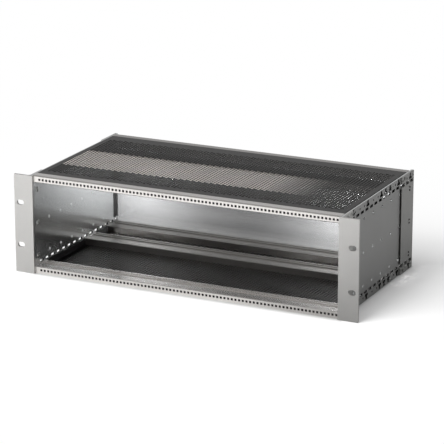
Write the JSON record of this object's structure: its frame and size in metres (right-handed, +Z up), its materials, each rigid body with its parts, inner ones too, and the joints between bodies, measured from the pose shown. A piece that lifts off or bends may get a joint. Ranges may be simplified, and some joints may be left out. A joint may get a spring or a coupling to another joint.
{
  "type": "subrack card cage",
  "caption": "Aluminium card cage for a 19 inch rack: punched side panels joined by grooved rails, slotted mounting ears, perforated covers and a closed rear.",
  "frame": {"origin": "centre of the footprint, on the surface that the cage stands on", "axes": "+X to the right seen from the front, +Y from the ears towards the rear panel, +Z up"},
  "size_m": [0.4826, 0.24, 0.1332],
  "materials": {
    "ear_finish": "fine satin, clear anodised",
    "rail_finish": "drawn and clear anodised",
    "sheet_finish": "brushed, clear passivated sheet",
    "strip_finish": "bare mill sheet",
    "cover_finish": "perforated sheet, dark in its own shade",
    "panel_finish": "satin sheet",
    "screw_finish": "zinc plated",
    "thread_finish": "black oxide",
    "seal_finish": "soft black strip"
  },
  "bodies": {
    "root": {"front_bracket_left": "ear_finish", "front_bracket_right": "ear_finish", "side_panel_left": "sheet_finish", "side_panel_right": "sheet_finish", "rear_strip_left": "strip_finish", "rear_strip_right": "strip_finish", "bottom_cover": "cover_finish", "top_cover": "cover_finish", "rear_panel": "panel_finish", "rear_panel_screws": "screw_finish", "corner_seal_left": "seal_finish", "corner_seal_right": "seal_finish", "bracket_screws_left": "screw_finish", "front_rail_screws_left": "screw_finish", "rail_screws_left": "screw_finish", "strip_rivets_left": "screw_finish", "bracket_screws_right": "screw_finish", "front_rail_screws_right": "screw_finish", "rail_screws_right": "screw_finish", "strip_rivets_right": "screw_finish", "front_rail_bottom": "rail_finish", "mid_rail_bottom": "rail_finish", "rear_rail_bottom": "rail_finish", "threaded_strip_front_bottom": "thread_finish", "threaded_strip_rear_bottom": "thread_finish", "front_rail_top": "rail_finish", "mid_rail_top": "rail_finish", "rear_rail_top": "rail_finish", "threaded_strip_front_top": "thread_finish", "threaded_strip_rear_top": "thread_finish"}
  },
  "joints": []
}
